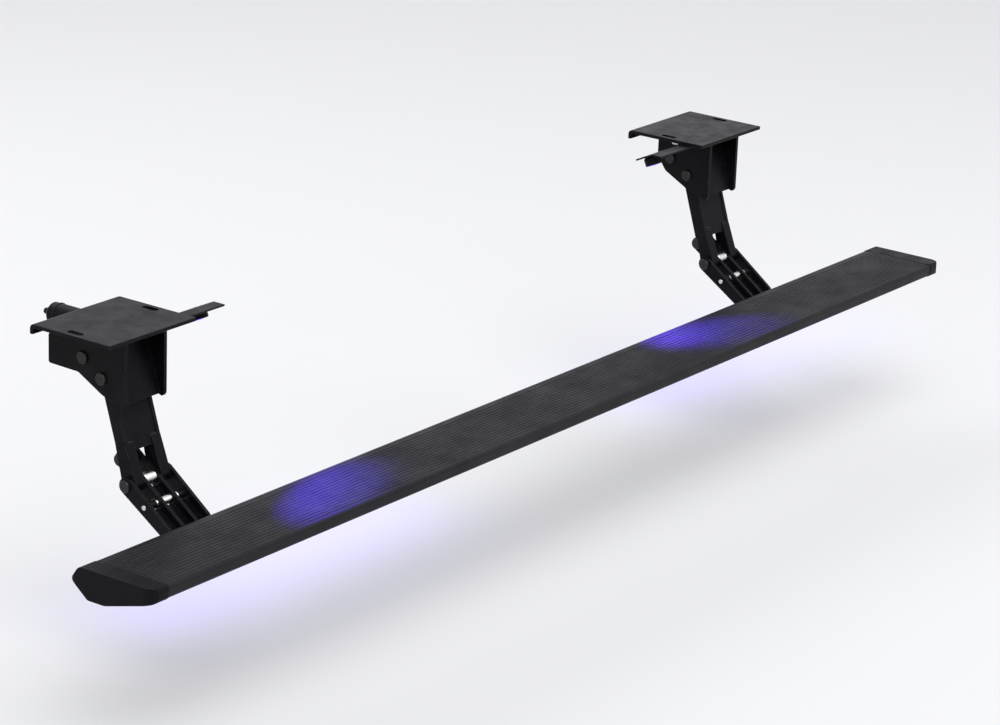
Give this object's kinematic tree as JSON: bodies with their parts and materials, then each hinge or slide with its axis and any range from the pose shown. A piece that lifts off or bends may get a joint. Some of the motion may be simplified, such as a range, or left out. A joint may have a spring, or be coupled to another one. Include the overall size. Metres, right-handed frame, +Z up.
{
  "type": "power running board",
  "caption": "Folding powered side step: ribbed board on swinging linkages with a gearmotor, stop bumpers and step lamps, shown deployed.",
  "frame": {"origin": "centre of the front mounting bracket's top face", "axes": "+X to the rear of the vehicle along the board, -Y outboard, +Z up"},
  "size_m": [2.19, 0.5052, 0.3367],
  "materials": {
    "deck": "dark grey anodised extrusion with fine grip ribs",
    "cap_plastic": "black moulded plastic, fine grain",
    "black_casting": "alloy casting with satin black powder coat",
    "black_steel": "steel with satin black powder coat",
    "bright_steel": "bright zinc plated or turned steel",
    "dark_steel": "turned steel with black oxide",
    "bush_bronze": "plain bearing bronze",
    "rubber": "black rubber",
    "cast_alloy": "bare die-cast alloy",
    "lamp_lens": "clear lens over a violet-blue light emitting diode"
  },
  "bodies": {
    "root": {"front_mount_bracket": "black_steel", "front_linkage_housing": "black_casting", "front_housing_bolt_1": "bright_steel", "front_housing_bolt_2": "bright_steel", "front_stop_bumper": "rubber", "front_lamp_bracket": "black_steel", "front_lamp_housing": "cap_plastic", "front_lamp_lens": "lamp_lens", "front_outer_arm_pin": "dark_steel", "front_drive_arm_pin": "dark_steel", "gearbox_case": "cast_alloy", "gearbox_cover": "black_steel", "gearbox_screw_1": "bright_steel", "gearbox_screw_2": "bright_steel", "gearbox_screw_3": "bright_steel", "motor_can": "black_steel", "cable_gland": "rubber", "rear_mount_bracket": "black_steel", "rear_linkage_housing": "black_casting", "rear_housing_bolt_1": "bright_steel", "rear_housing_bolt_2": "bright_steel", "rear_stop_bumper": "rubber", "rear_lamp_bracket": "black_steel", "rear_lamp_housing": "cap_plastic", "rear_lamp_lens": "lamp_lens", "rear_outer_arm_pin": "dark_steel", "rear_drive_arm_pin": "dark_steel"},
    "front_drive": {"front_drive_arm": "black_casting", "front_drive_arm_bush": "bush_bronze", "front_drive_eye_bush": "bush_bronze", "sector_gear": "bright_steel"},
    "front_outer": {"front_outer_arm": "black_casting", "front_outer_arm_bush": "bush_bronze", "front_fork_bush_1": "bush_bronze", "front_fork_bush_2": "bush_bronze"},
    "rear_drive": {"rear_drive_arm": "black_casting", "rear_drive_arm_bush": "bush_bronze", "rear_drive_eye_bush": "bush_bronze"},
    "rear_outer": {"rear_outer_arm": "black_casting", "rear_outer_arm_bush": "bush_bronze", "rear_fork_bush_1": "bush_bronze", "rear_fork_bush_2": "bush_bronze"},
    "pinion": {"drive_pinion": "bright_steel"},
    "board": {"board_extrusion": "deck", "front_end_cap": "cap_plastic", "rear_end_cap": "cap_plastic", "front_foot": "black_casting", "front_fork_pin": "dark_steel", "front_drive_eye_pin": "dark_steel", "front_spacer_sleeve": "bright_steel", "front_tie_spindle": "bright_steel", "front_clamp_bolt_1": "bright_steel", "front_clamp_bolt_2": "bright_steel", "rear_foot": "black_casting", "rear_fork_pin": "dark_steel", "rear_drive_eye_pin": "dark_steel", "rear_spacer_sleeve": "bright_steel", "rear_tie_spindle": "bright_steel", "rear_clamp_bolt_1": "bright_steel", "rear_clamp_bolt_2": "bright_steel"}
  },
  "joints": [
    {"name": "front_drive_hinge", "type": "hinge", "parent": "root", "child": "front_drive", "pos_m": [0, 0.01861, -0.05084], "axis": [1, 0, 0], "range_deg": [0, 102]},
    {"name": "front_outer_hinge", "type": "hinge", "parent": "root", "child": "front_outer", "pos_m": [0, -0.0187, -0.076], "axis": [1, 0, 0], "range_deg": [0, 102]},
    {"name": "rear_drive_hinge", "type": "hinge", "parent": "root", "child": "rear_drive", "pos_m": [1.55, 0.01861, -0.05084], "axis": [1, 0, 0], "range_deg": [0, 102]},
    {"name": "rear_outer_hinge", "type": "hinge", "parent": "root", "child": "rear_outer", "pos_m": [1.55, -0.0187, -0.076], "axis": [1, 0, 0], "range_deg": [0, 102]},
    {"name": "board_hinge", "type": "hinge", "parent": "front_drive", "child": "board", "pos_m": [0, -0.03074, -0.20829], "axis": [1, 0, 0], "range_deg": [-102, 0]},
    {"name": "pinion_spin", "type": "hinge", "parent": "root", "child": "pinion", "pos_m": [0, 0.05461, -0.05084], "axis": [1, 0, 0], "range_deg": [-306, 0]}
  ],
  "couplings": [
    {"joint": "front_outer_hinge", "follows": "front_drive_hinge", "ratio": 1},
    {"joint": "rear_drive_hinge", "follows": "front_drive_hinge", "ratio": 1},
    {"joint": "rear_outer_hinge", "follows": "front_drive_hinge", "ratio": 1},
    {"joint": "board_hinge", "follows": "front_drive_hinge", "ratio": -1},
    {"joint": "pinion_spin", "follows": "front_drive_hinge", "ratio": -3}
  ]
}
